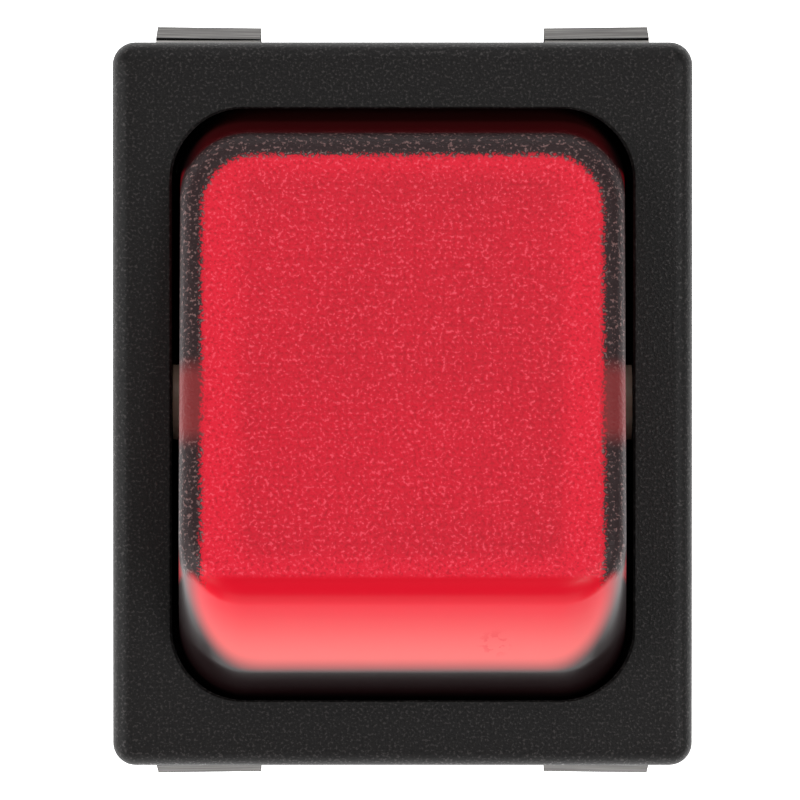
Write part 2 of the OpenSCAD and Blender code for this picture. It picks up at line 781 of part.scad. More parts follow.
// Coil spring from the plunger's flange up to the contact plate
module plunger_spring(side) {
    r = spring_wire / 2;
    foot = spring_foot + r;
    rise = plate_top - r - foot;
    rings = 14; // rings in each turn
    sides = 6;
    count = rings * spring_turns;
    points = [for (i = [0:count]) for (s = [0:sides - 1])
        let (
            a = 360 * i / rings,
            b = 360 * s / sides,
            reach = spring_r + r * cos(b)
        )
        [reach * cos(a), reach * sin(a), foot + rise * i / count + r * sin(b)]];
    color(plated_steel)
        rocker_pose()
            translate([side * pole_x, 0, 0])
                polyhedron(
                    points = points,
                    faces = concat(
                        [[for (s = [0:sides - 1]) s]],
                        [[for (s = [sides - 1:-1:0]) count * sides + s]],
                        [for (i = [0:count - 1]) for (s = [0:sides - 1])
                            let (t = (s + 1) % sides)
                            [i * sides + s, (i + 1) * sides + s, (i + 1) * sides + t, i * sides + t]]
                    )
                );
}

// Point of an arm's section: s along the arm from the fulcrum, h above the fulcrum's level
function arm_point(end, s, h) = [
    end * (s * cos(arm_rise) - h * sin(arm_rise)), s * sin(arm_rise) + h * cos(arm_rise)
];

// Shallow V of sheet brass that rocks on a knuckle
module moving_contact(side) {
    top = arm_under + arm_t;
    color(brass)
        contact_pose(side)
            union() {
                along_x(arm_w)
                    polygon([
                        arm_point(REAR, arm_l, arm_under), arm_point(REAR, arm_l, top),
                        [0, top / cos(arm_rise)],
                        arm_point(FRONT, arm_l, top), arm_point(FRONT, arm_l, arm_under),
                        [0, arm_under / cos(arm_rise)]
                    ]);
                along_x(knuckle_w) circle(knuckle_r);
            }
}

module contact_button(side) {
    seat = arm_point(REAR, button_y, arm_under - button_t);
    color(silver)
        contact_pose(side)
            translate([0, seat[0], seat[1]]) rotate([arm_rise, 0, 0])
                cylinder(d = button_d, h = button_t);
}

housing();
base();
clip(LEFT, REAR);  // clip_rear_left
clip(RIGHT, REAR);  // clip_rear_right
clip(LEFT, FRONT);  // clip_front_left
clip(RIGHT, FRONT);  // clip_front_right
load_terminal(LEFT);  // load_terminal_left
load_terminal(RIGHT);  // load_terminal_right
line_terminal(LEFT);  // line_terminal_left
line_terminal(RIGHT);  // line_terminal_right
fixed_contact(LEFT);  // fixed_contact_left
fixed_contact(RIGHT);  // fixed_contact_right
rocker_cap();
rocker_carrier();
diffuser();
lamp_glass();
lamp_leads();
resistor();
contact_plate(LEFT);  // contact_plate_left
contact_plate(RIGHT);  // contact_plate_right
plunger(LEFT);  // plunger_left
plunger(RIGHT);  // plunger_right
plunger_spring(LEFT);  // plunger_spring_left
plunger_spring(RIGHT);  // plunger_spring_right
moving_contact(LEFT);  // moving_contact_left
moving_contact(RIGHT);  // moving_contact_right
contact_button(LEFT);  // contact_button_left
contact_button(RIGHT);  // contact_button_right
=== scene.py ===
import math
import bpy
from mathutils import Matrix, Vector


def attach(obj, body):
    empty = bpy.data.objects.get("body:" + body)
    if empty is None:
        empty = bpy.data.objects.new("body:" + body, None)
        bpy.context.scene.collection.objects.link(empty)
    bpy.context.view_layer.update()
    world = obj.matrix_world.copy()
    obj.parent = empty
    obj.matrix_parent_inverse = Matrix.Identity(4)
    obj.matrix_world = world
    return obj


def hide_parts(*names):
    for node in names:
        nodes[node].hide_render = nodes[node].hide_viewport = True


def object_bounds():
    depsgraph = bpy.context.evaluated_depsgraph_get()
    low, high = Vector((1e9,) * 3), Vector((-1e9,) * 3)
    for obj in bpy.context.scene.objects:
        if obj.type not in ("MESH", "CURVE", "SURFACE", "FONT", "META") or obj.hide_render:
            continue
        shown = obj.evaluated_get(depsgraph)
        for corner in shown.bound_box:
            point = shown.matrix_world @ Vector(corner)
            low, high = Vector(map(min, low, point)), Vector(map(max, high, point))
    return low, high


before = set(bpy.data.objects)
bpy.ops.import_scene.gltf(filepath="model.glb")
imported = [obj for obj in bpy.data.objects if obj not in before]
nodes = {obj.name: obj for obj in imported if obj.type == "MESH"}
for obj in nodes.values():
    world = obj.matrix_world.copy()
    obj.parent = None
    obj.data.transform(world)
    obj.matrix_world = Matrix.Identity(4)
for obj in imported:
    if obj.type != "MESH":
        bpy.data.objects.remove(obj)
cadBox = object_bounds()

mm = 0.001


def makeActive(piece):
    bpy.context.view_layer.objects.active = piece
    if piece.mode != "OBJECT":
        bpy.ops.object.mode_set(mode="OBJECT")
    bpy.ops.object.select_all(action="DESELECT")
    piece.select_set(True)


def clearSelection():
    active = bpy.context.view_layer.objects.active
    if active is not None and active.mode != "OBJECT":
        bpy.ops.object.mode_set(mode="OBJECT")
    bpy.ops.object.select_all(action="DESELECT")


def addBox(name, size, centre):
    clearSelection()
    bpy.ops.mesh.primitive_cube_add(size=1, location=Vector(centre) * mm, scale=Vector(size) * mm)
    box = bpy.context.object
    box.name = name
    bpy.ops.object.transform_apply(location=True, rotation=True, scale=True)
    return box


def addRod(name, radius, length, centre, sides=64):
    clearSelection()
    bpy.ops.mesh.primitive_cylinder_add(
        vertices=sides, radius=radius * mm, depth=length * mm,
        location=Vector(centre) * mm, rotation=(0, math.pi / 2, 0))  # lies along X
    rod = bpy.context.object
    rod.name = name
    bpy.ops.object.transform_apply(location=True, rotation=True, scale=True)
    return rod


def startSelecting(piece, kind):
    makeActive(piece)
    bpy.ops.object.mode_set(mode="EDIT")
    bpy.ops.mesh.select_mode(type=kind)
    bpy.ops.mesh.select_all(action="DESELECT")
    bpy.ops.object.mode_set(mode="OBJECT")


def selectVerts(piece, test):
    startSelecting(piece, "VERT")
    for vert in piece.data.vertices:
        vert.select = test(vert.co / mm)
    bpy.ops.object.mode_set(mode="EDIT")


def selectEdges(piece, test):
    startSelecting(piece, "EDGE")
    verts = piece.data.vertices
    for edge in piece.data.edges:
        edge.select = test(verts[edge.vertices[0]].co / mm, verts[edge.vertices[1]].co / mm)
    bpy.ops.object.mode_set(mode="EDIT")


def selectFaces(piece, test):
    startSelecting(piece, "FACE")
    for face in piece.data.polygons:
        face.select = test(face.center / mm, face.normal)
    bpy.ops.object.mode_set(mode="EDIT")


def cutLevels(piece, levels):
    for level in levels:
        selectVerts(piece, lambda co: True)
        bpy.ops.mesh.bisect(plane_co=(0, 0, level * mm), plane_no=(0, 0, 1))
    makeActive(piece)


def isNear(first, second):
    return abs(first - second) < 0.001


def isUpright(a, b):
    return isNear(a.x, b.x) and isNear(a.y, b.y) and not isNear(a.z, b.z)


def bevelSelected(piece, radius, segments):
    bpy.ops.mesh.bevel(offset=radius * mm, segments=segments, profile=0.5, clamp_overlap=False)
    makeActive(piece)


def roundUprights(piece, radius, segments):
    selectEdges(piece, isUpright)
    bevelSelected(piece, radius, segments)


def roundRim(piece, level, radius, segments):
    selectEdges(piece, lambda a, b: isNear(a.z, level) and isNear(b.z, level))
    bevelSelected(piece, radius, segments)


def slideRing(piece, level, dx, dy):
    # moves the four sides of the ring at one height outwards by dx and dy
    for side in (-1, 1):
        selectVerts(piece, lambda co: isNear(co.z, level) and co.x * side > 0)
        bpy.ops.transform.translate(value=(side * dx * mm, 0, 0))
        selectVerts(piece, lambda co: isNear(co.z, level) and co.y * side > 0)
        bpy.ops.transform.translate(value=(0, side * dy * mm, 0))
    makeActive(piece)


def carve(piece, cutter):
    modifier = piece.modifiers.new("carve", "BOOLEAN")
    modifier.operation = "DIFFERENCE"
    modifier.solver = "EXACT"
    modifier.object = cutter
    makeActive(piece)
    bpy.ops.object.modifier_apply(modifier=modifier.name)
    bpy.data.objects.remove(cutter, do_unlink=True)


def smoothShade(piece, angle=35):
    makeActive(piece)
    bpy.ops.object.shade_smooth_by_angle(angle=math.radians(angle))


def addNode(tree, kind, **settings):
    node = tree.nodes.new(kind)
    for key, value in settings.items():
        setattr(node, key, value)
    return node


def newGroup(name, inputs, outputs):
    group = bpy.data.node_groups.new(name, "ShaderNodeTree")
    for label, kind, value in inputs:
        socket = group.interface.new_socket(label, in_out="INPUT", socket_type=kind)
        if value is not None:
            socket.default_value = value
    for label, kind in outputs:
        group.interface.new_socket(label, in_out="OUTPUT", socket_type=kind)
    return group, group.nodes.new("NodeGroupInput"), group.nodes.new("NodeGroupOutput")


def mathNode(tree, operation, *values):
    node = addNode(tree, "ShaderNodeMath", operation=operation)
    for socket, value in zip(node.inputs, values):
        if isinstance(value, (int, float)):
            socket.default_value = value
        else:
            tree.links.new(value, socket)
    return node.outputs[0]


def product(tree, first, second):
    return mathNode(tree, "MULTIPLY", first, second)


def rangeNode(tree, value, low, high, toLow=0.0, toHigh=1.0):
    node = addNode(tree, "ShaderNodeMapRange", interpolation_type="SMOOTHSTEP")
    tree.links.new(value, node.inputs["Value"])
    for label, number in (("From Min", low), ("From Max", high), ("To Min", toLow), ("To Max", toHigh)):
        node.inputs[label].default_value = number
    return node.outputs["Result"]


def fadeOver(tree, length, limits, toLow=0.0, toHigh=1.0):
    # a range node whose limits are in millimetres
    return rangeNode(tree, length, limits[0] * mm, limits[1] * mm, toLow, toHigh)


def noiseNode(tree, vector, scale, detail=2.0):
    noise = addNode(tree, "ShaderNodeTexNoise")
    noise.inputs["Scale"].default_value = scale
    noise.inputs["Detail"].default_value = detail
    tree.links.new(vector, noise.inputs["Vector"])
    return noise.outputs["Fac"]


def makeMouldGrainAndGlints():
    # spark-eroded mould texture: uneven fine grains, with a painted highlight on the tallest and painted
    # shade in the deepest
    group, given, result = newGroup(
        "mouldGrainAndGlints",
        [("Vector", "NodeSocketVector", None), ("Grains per Metre", "NodeSocketFloat", 8000.0)],
        [("Height", "NodeSocketFloat"), ("Glint", "NodeSocketFloat"), ("PitShade", "NodeSocketFloat")])
    grains = addNode(group, "ShaderNodeTexNoise")
    grains.inputs["Detail"].default_value = 1.6
    grains.inputs["Roughness"].default_value = 0.62
    group.links.new(given.outputs["Vector"], grains.inputs["Vector"])
    group.links.new(given.outputs["Grains per Metre"], grains.inputs["Scale"])
    group.links.new(grains.outputs["Fac"], result.inputs["Height"])
    group.links.new(rangeNode(group, grains.outputs["Fac"], 0.54, 0.70), result.inputs["Glint"])
    group.links.new(rangeNode(group, grains.outputs["Fac"], 0.32, 0.47, 1, 0), result.inputs["PitShade"])
    return group


def makeRolledStreaks():
    # fine rolling lines of sheet metal, drawn out along Y or Z by the mapping in front of it
    group, given, result = newGroup(
        "rolledStreaks",
        [("Vector", "NodeSocketVector", None), ("Lines per Metre", "NodeSocketFloat", 6000.0)],
        [("Height", "NodeSocketFloat"), ("Tarnish", "NodeSocketFloat")])
    lines = addNode(group, "ShaderNodeTexNoise")
    lines.inputs["Detail"].default_value = 3.0
    blotch = noiseNode(group, given.outputs["Vector"], 260.0, 4.0)
    group.links.new(given.outputs["Vector"], lines.inputs["Vector"])
    group.links.new(given.outputs["Lines per Metre"], lines.inputs["Scale"])
    group.links.new(lines.outputs["Fac"], result.inputs["Height"])
    group.links.new(rangeNode(group, blotch, 0.42, 0.68), result.inputs["Tarnish"])
    return group


mouldGrainAndGlints = makeMouldGrainAndGlints()
rolledStreaks = makeRolledStreaks()


def startMaterial(name, fixed):
    material = bpy.data.materials.new(name)
    material.use_nodes = True
    tree = material.node_tree
    shader = tree.nodes["Principled BSDF"]
    for label, value in fixed.items():
        shader.inputs[label].default_value = value
    place = addNode(tree, "ShaderNodeTexCoord")
    mapping = addNode(tree, "ShaderNodeMapping")
    tree.links.new(place.outputs["Object"], mapping.inputs["Vector"])
    return material, tree, shader, mapping


def addBump(tree, shader, height, strength, distance):
    bump = addNode(tree, "ShaderNodeBump")
    bump.inputs["Strength"].default_value = strength
    bump.inputs["Distance"].default_value = distance * mm
    tree.links.new(height, bump.inputs["Height"])
    tree.links.new(bump.outputs["Normal"], shader.inputs["Normal"])


def mixColour(tree, factor, first, second):
    node = addNode(tree, "ShaderNodeMix", data_type="RGBA")
    tree.links.new(factor, node.inputs["Factor"])
    for socket, value in ((node.inputs[6], first), (node.inputs[7], second)):
        if isinstance(value, tuple):
            socket.default_value = (*value, 1)
        else:
            tree.links.new(value, socket)
    return node.outputs[2]


def axesOf(tree, vector):
    split = addNode(tree, "ShaderNodeSeparateXYZ")
    tree.links.new(vector, split.inputs[0])
    return split.outputs


def useGroup(tree, group, mapping, **values):
    node = addNode(tree, "ShaderNodeGroup")
    node.node_tree = group
    tree.links.new(mapping.outputs["Vector"], node.inputs["Vector"])
    for label, value in values.items():
        node.inputs[label.replace("_", " ")].default_value = value
    return node


streakRange = (0.3, 0.7)  # how low and how high the rolled streaks' height mostly goes


def makeMoulded(name, settings):
    material, tree, shader, mapping = startMaterial(name, settings["fixed"])
    grain = useGroup(tree, mouldGrainAndGlints, mapping, Grains_per_Metre=settings["grains"])
    # a painted highlight on the grain's tallest points, then painted shade in its deepest
    colour = mixColour(tree, grain.outputs["Glint"], settings["colour"], settings["glint"])
    colour = mixColour(tree, grain.outputs["PitShade"], colour, settings["pitShadeColour"])
    tree.links.new(colour, shader.inputs["Base Color"])
    rough = rangeNode(tree, grain.outputs["Glint"], 0, 1, *settings["rough"])
    tree.links.new(rough, shader.inputs["Roughness"])
    addBump(tree, shader, grain.outputs["Height"], settings["bump"], settings["depth"])
    return material


def makeMetal(name, settings):
    material, tree, shader, mapping = startMaterial(name, {"Metallic": 1.0})
    mapping.inputs["Scale"].default_value = settings["stretch"]
    streaks = useGroup(tree, rolledStreaks, mapping, Lines_per_Metre=settings["lines"])
    colour = mixColour(tree, streaks.outputs["Tarnish"], settings["colour"], settings["tarnish"])
    tree.links.new(colour, shader.inputs["Base Color"])
    rough = rangeNode(tree, streaks.outputs["Height"], *streakRange, *settings["rough"])
    tree.links.new(rough, shader.inputs["Roughness"])
    addBump(tree, shader, streaks.outputs["Height"], settings["bump"], 0.02)
    return material


# in each finish the glint colour is a painted highlight and the pit colour painted shade
moulded = {
    "blackNylon": {
        "fixed": {"Specular IOR Level": 0.22}, "grains": 8200.0,
        "colour": (0.0055, 0.0047, 0.0045), "glint": (0.036, 0.032, 0.031),
        "pitShadeColour": (0.0015, 0.0013, 0.0013), "rough": (0.52, 0.36), "bump": 0.7, "depth": 0.035},
    "tanNylon": {
        "fixed": {"Specular IOR Level": 0.4}, "grains": 3000.0,
        "colour": (0.84, 0.56, 0.42), "glint": (0.88, 0.62, 0.48), "pitShadeColour": (0.76, 0.49, 0.36),
        "rough": (0.42, 0.34), "bump": 0.15, "depth": 0.02},
    "opalAcrylic": {
        "fixed": {"Specular IOR Level": 0.4}, "grains": 2500.0,
        "colour": (0.86, 0.83, 0.80), "glint": (0.92, 0.90, 0.88), "pitShadeColour": (0.80, 0.77, 0.74),
        "rough": (0.5, 0.4), "bump": 0.2, "depth": 0.02},
    "resistorLacquer": {
        "fixed": {"Coat Weight": 0.5}, "grains": 1800.0,
        "colour": (0.16, 0.33, 0.45), "glint": (0.22, 0.40, 0.52), "pitShadeColour": (0.12, 0.27, 0.38),
        "rough": (0.34, 0.28), "bump": 0.12, "depth": 0.02}}

metals = {
    "tinnedBrass": {
        "colour": (0.72, 0.71, 0.69), "tarnish": (0.55, 0.54, 0.53), "rough": (0.20, 0.38),
        "lines": 4200.0, "stretch": (1.0, 1.0, 0.06), "bump": 0.12},
    "sheetBrass": {
        "colour": (0.72, 0.50, 0.20), "tarnish": (0.56, 0.37, 0.15), "rough": (0.18, 0.36),
        "lines": 4200.0, "stretch": (1.0, 0.06, 1.0), "bump": 0.12},
    "contactSilver": {
        "colour": (0.86, 0.85, 0.83), "tarnish": (0.70, 0.69, 0.67), "rough": (0.16, 0.30),
        "lines": 3000.0, "stretch": (1.0, 1.0, 1.0), "bump": 0.06},
    "leadWire": {
        "colour": (0.66, 0.65, 0.64), "tarnish": (0.48, 0.47, 0.46), "rough": (0.24, 0.40),
        "lines": 5000.0, "stretch": (1.0, 1.0, 1.0), "bump": 0.06}}

materials = {name: makeMoulded(name, settings) for name, settings in moulded.items()}
materials.update({name: makeMetal(name, settings) for name, settings in metals.items()})

clipLook = {
    "oxide": (0.022, 0.0165, 0.0125), "lighterStreaks": (0.060, 0.048, 0.038), "cutEdgeHighlight": (0.62, 0.60, 0.57),
    "blackEdge": (0.004, 0.004, 0.004), "edgeZ": -2.14, "splitY": 15.95, "stretch": (0.05, 1.0, 1.0),
    "lines": 5200.0, "lighterFrom": 0.52, "lighterTo": 0.72, "rough": (0.62, 0.46), "bump": 0.2}


def makeClipSteel(look):
    # blackened spring steel with lighter streaks along its rolling lines; the top of its cut edge has a
    # painted highlight next to the bezel and is near-black further out
    material, tree, shader, mapping = startMaterial("clipSteel", {"Specular IOR Level": 0.10})
    mapping.inputs["Scale"].default_value = look["stretch"]
    streaks = useGroup(tree, rolledStreaks, mapping, Lines_per_Metre=look["lines"])
    height = streaks.outputs["Height"]
    # lighter streaks where the rolling lines run high
    lighterStreaks = rangeNode(tree, height, look["lighterFrom"], look["lighterTo"])
    face = mixColour(tree, lighterStreaks, look["oxide"], look["lighterStreaks"])
    place = addNode(tree, "ShaderNodeTexCoord")
    y, z = axesOf(tree, place.outputs["Object"])[1:3]
    onEdge = mathNode(tree, "GREATER_THAN", z, look["edgeZ"] * mm)
    beyondSplit = mathNode(tree, "GREATER_THAN", mathNode(tree, "ABSOLUTE", y), look["splitY"] * mm)
    # a painted highlight on the cut edge next to the bezel, near-black beyond the split
    edge = mixColour(tree, beyondSplit, look["cutEdgeHighlight"], look["blackEdge"])
    tree.links.new(mixColour(tree, onEdge, face, edge), shader.inputs["Base Color"])
    tree.links.new(rangeNode(tree, height, *streakRange, *look["rough"]), shader.inputs["Roughness"])
    addBump(tree, shader, height, look["bump"], 0.02)
    return material


def makeGlass():
    material, tree, shader, mapping = startMaterial(
        "lampGlass", {"Transmission Weight": 1.0, "IOR": 1.5, "Base Color": (0.95, 0.97, 0.97, 1)})
    haze = useGroup(tree, mouldGrainAndGlints, mapping, Grains_per_Metre=900.0)
    tree.links.new(rangeNode(tree, haze.outputs["Glint"], 0, 1, 0.02, 0.12), shader.inputs["Roughness"])
    return material


materials["lampGlass"] = makeGlass()
materials["clipSteel"] = makeClipSteel(clipLook)

clearRed = {
    "tilt": 13.0, "pivotZ": -1.7, "grains": 6400.0, "bump": 0.8, "depth": 0.05,
    # colours; the glint colours are painted highlights, the pit and dark colours painted shade, the trunnion
    # glow and the side red painted light, the pale low end a painted reflection
    "faceRed": (0.74, 0.0075, 0.030), "diffuserRed": (0.56, 0.0055, 0.022), "edgeRed": (0.66, 0.002, 0.016),
    "glintRed": (0.95, 0.085, 0.13), "pitShadeRed": (0.44, 0.003, 0.014), "endTop": (0.72, 0.006, 0.022),
    "endLowSheen": (0.76, 0.10, 0.095), "rimShade": (0.020, 0.008, 0.009), "rimGlint": (0.20, 0.11, 0.105),
    "deepShade": (0.008, 0.0025, 0.003), "trunnionGlow": (0.20, 0.02, 0.022), "sideRed": (0.30, 0.004, 0.010),
    # the top face; lengths are in mm from the trunnions' axis with the cap level
    "litWidth": 8.68, "litRear": 9.32, "litFront": 11.3, "litCorner": 2.3, "litFade": (-0.10, 0.16),
    "speckleShift": 0.12, "diffuserHalf": (7.15, 8.6), "diffuserCorner": 1.0, "diffuserFade": (-0.7, 0.5),
    "cell": 0.42, "latticeShade": 0.70, "clouds": 120.0, "cloudShade": 0.7,
    "grainColourZ": (6.0, 7.0), "glintShare": 0.62, "pitShadeShare": 0.6,
    "rimGlintZ": (6.4, 7.2), "rimGlintShare": 0.9, "trunnionY": -1.6, "glowFade": (1.0, 2.2),
    "frontEdgeY": (-9.45, -9.15),
    # the ends and the sides
    "halfwayY": (-1.0, 1.0), "rearShade": 0.08, "sheenZ": (4.2, 7.6), "endZ": 9.0,
    "endHalf": (9.6, 5.5), "endCorner": 3.6,
    "endFade": (-1.1, 0.1), "frontEndZ": (7.35, 7.70), "frontEndY": (-9.2, -8.8),
    "rearEndZ": (7.15, 7.35), "rearEndY": (8.8, 9.2), "sideLitZ": (3.0, 5.5), "sideZ": (6.3, 6.9),
    "scuff": (4.0, 5.3, 0.7), "scuffFade": (-0.4, 0.2), "scuffShare": 0.5, "scratches": 2600.0,
    # the finish
    "grainedZ": (6.8, 7.3), "smoothRough": 0.3, "grainedRough": (0.46, 0.30), "smoothCoat": 0.06}


def roundedDistance(tree, across, along, halfAcross, halfAlong, corner):
    # signed distance in metres from a rounded rectangle's edge, below zero inside
    def past(value, half):
        size = mathNode(tree, "ABSOLUTE", value)
        return mathNode(tree, "MAXIMUM", mathNode(tree, "SUBTRACT", size, (half - corner) * mm), 0)
    first, second = past(across, halfAcross), past(along, halfAlong)
    squares = mathNode(tree, "ADD", product(tree, first, first), product(tree, second, second))
    return mathNode(tree, "SUBTRACT", mathNode(tree, "SQRT", squares), corner * mm)


def litMask(tree, look, x, y, height):
    # the field above the lamp's room, which keeps the face's red while outside it the rims take painted
    # shade; its edge is broken up by the grain
    middleY = mathNode(tree, "SUBTRACT", y, (look["litRear"] - look["litFront"]) / 2 * mm)
    halfLit = (look["litRear"] + look["litFront"]) / 2
    edge = roundedDistance(tree, x, middleY, look["litWidth"], halfLit, look["litCorner"])
    shift = look["speckleShift"] * mm
    edge = mathNode(tree, "ADD", edge, rangeNode(tree, height, 0.35, 0.65, -shift, shift))
    return fadeOver(tree, edge, look["litFade"], 1, 0)


def diffuserMask(tree, look, vector, x, y):
    # the diffuser's rectangle with its faint lattice, a little uneven
    outline = roundedDistance(tree, x, y, *look["diffuserHalf"], look["diffuserCorner"])
    plate = fadeOver(tree, outline, look["diffuserFade"], 1, 0)
    turns = 2 * math.pi / (look["cell"] * mm)
    waves = [mathNode(tree, "SINE", product(tree, axis, turns)) for axis in (x, y)]
    lattice = rangeNode(tree, mathNode(tree, "MAXIMUM", *waves), 0.2, 1.0, look["latticeShade"], 1.0)
    clouds = rangeNode(tree, noiseNode(tree, vector, look["clouds"], 1.0), 0.3, 0.7, look["cloudShade"], 1.0)
    return product(tree, product(tree, plate, lattice), clouds)


def scuffMask(tree, look, vector, x, z):
    # a small rubbed patch on the raised end
    scuffX, scuffZ, radius = look["scuff"]
    outline = roundedDistance(tree, mathNode(tree, "SUBTRACT", x, scuffX * mm),
                              mathNode(tree, "SUBTRACT", z, scuffZ * mm), radius, radius, radius)
    scratches = rangeNode(tree, noiseNode(tree, vector, look["scratches"]), 0.50, 0.60)
    return product(tree, fadeOver(tree, outline, look["scuffFade"], look["scuffShare"], 0), scratches)


def faceColour(tree, look, vector, x, y, z, grain):
    colour = mixColour(tree, diffuserMask(tree, look, vector, x, y), look["faceRed"], look["diffuserRed"])
    # painted highlights on the grain's tallest points and painted shade in its deepest, on the top face only
    for kind, share, tint in (("Glint", "glintShare", "glintRed"), ("PitShade", "pitShadeShare", "pitShadeRed")):
        onTop = fadeOver(tree, z, look["grainColourZ"], 0, look[share])
        colour = mixColour(tree, product(tree, grain.outputs[kind], onTop), colour, look[tint])
    return colour


def rimColour(tree, look, y, z, grain):
    # painted shade above the walls with painted glints on the grain, and a painted glow where a trunnion lies
    # beneath
    onTop = fadeOver(tree, z, look["rimGlintZ"], 0, look["rimGlintShare"])
    colour = mixColour(tree, product(tree, grain.outputs["Glint"], onTop), look["rimShade"], look["rimGlint"])
    fromTrunnion = mathNode(tree, "ABSOLUTE", mathNode(tree, "ADD", y, -look["trunnionY"] * mm))
    return mixColour(tree, fadeOver(tree, fromTrunnion, look["glowFade"], 1, 0), colour, look["trunnionGlow"])


def endColour(tree, look, vector, x, y, z):
    # a painted reflection paler low down, painted shade below the shoulder and in the round corners, and the
    # rear end in painted shade all over
    colour = mixColour(tree, fadeOver(tree, z, look["sheenZ"], 1, 0), look["endTop"], look["endLowSheen"])
    colour = mixColour(tree, scuffMask(tree, look, vector, x, z), colour, look["edgeRed"])
    lift = mathNode(tree, "SUBTRACT", z, look["endZ"] * mm)
    outline = roundedDistance(tree, x, lift, *look["endHalf"], look["endCorner"])
    field = fadeOver(tree, outline, look["endFade"], 1, 0)
    frontHalf = fadeOver(tree, y, look["halfwayY"], 1, look["rearShade"])
    return mixColour(tree, product(tree, field, frontHalf), look["deepShade"], colour)


def makeClearRed(look):
    # clear-red plastic over a lit diffuser, painted: bright above it, painted shade where only the wall lies
    # beneath
    material, tree, shader, mapping = startMaterial(
        "clearRed", {"Specular IOR Level": 0.26, "Coat Roughness": 0.1})
    mapping.vector_type = "TEXTURE"
    mapping.inputs["Location"].default_value = (0, 0, look["pivotZ"] * mm)
    mapping.inputs["Rotation"].default_value = (-math.radians(look["tilt"]), 0, 0)
    vector = mapping.outputs["Vector"]
    x, y, z = axesOf(tree, vector)[:3]
    grain = useGroup(tree, mouldGrainAndGlints, mapping, Grains_per_Metre=look["grains"])
    height = grain.outputs["Height"]

    # the front edge is smooth with a painted deep-red glow, the other three are grained and in painted shade
    frontEdge = fadeOver(tree, y, look["frontEdgeY"], 1, 0)
    top = mixColour(tree, frontEdge, faceColour(tree, look, vector, x, y, z, grain), look["edgeRed"])
    lit = litMask(tree, look, x, y, height)
    # the face's red inside the lit field, the rims' painted shade outside it
    colour = mixColour(tree, lit, rimColour(tree, look, y, z, grain), top)

    frontEnd = product(tree, fadeOver(tree, z, look["frontEndZ"], 1, 0),
                       fadeOver(tree, y, look["frontEndY"], 1, 0))
    rearEnd = product(tree, fadeOver(tree, z, look["rearEndZ"], 1, 0), fadeOver(tree, y, look["rearEndY"]))
    isEnd = mathNode(tree, "MAXIMUM", frontEnd, rearEnd)
    colour = mixColour(tree, isEnd, colour, endColour(tree, look, vector, x, y, z))

    # the side walls: painted red light on their upper part, painted shade lower down
    sides = mixColour(tree, fadeOver(tree, z, look["sideLitZ"]), look["deepShade"], look["sideRed"])
    isSide = product(tree, fadeOver(tree, z, look["sideZ"], 1, 0), mathNode(tree, "SUBTRACT", 1, isEnd))
    tree.links.new(mixColour(tree, isSide, colour, sides), shader.inputs["Base Color"])

    behindEdge = mathNode(tree, "SUBTRACT", 1, frontEdge)
    grained = product(tree, fadeOver(tree, z, look["grainedZ"]), behindEdge)
    rough = addNode(tree, "ShaderNodeMix", data_type="FLOAT")
    tree.links.new(grained, rough.inputs["Factor"])
    rough.inputs[2].default_value = look["smoothRough"]
    tree.links.new(rangeNode(tree, grain.outputs["Glint"], 0, 1, *look["grainedRough"]), rough.inputs[3])
    tree.links.new(rough.outputs[0], shader.inputs["Roughness"])
    tree.links.new(rangeNode(tree, grained, 0, 1, look["smoothCoat"], 0), shader.inputs["Coat Weight"])
    addBump(tree, shader, product(tree, height, grained), look["bump"], look["depth"])
    return material


materials["clearRed"] = makeClearRed(clearRed)
print("materials ready:", len(materials))


housingSizes = {
    "bezel": (25.4, 31.7, 2.2), "bezelCorner": 1.0, "bezelEdge": 0.8,
    "body": (22.0, 30.0), "deckZ": -15.0044, "pivotZ": -1.7,
    "wellHalfWidth": 10.1, "wellCorner": 3.2, "drum": 13.5, "chamberHalfLength": 12.0,
    "mouth": 0.1, "pocketRadius": 1.7, "pocketDepth": 0.5,
    "clipX": 8.6, "clipReach": 4.8, "recessY": 14.0, "recessDepth": 2,
    "footSlot": (4.8, 2.4, 0.4), "footY": 13.8, "footZ": -13.4044,
    "latchChannel": (6.2, 2, 6.1), "latchY": 15.0, "latchRise": 2.05,
    "latchWindow": (6.2, 0.9, 1.4), "windowY": 13.85, "windowRise": 3.5}


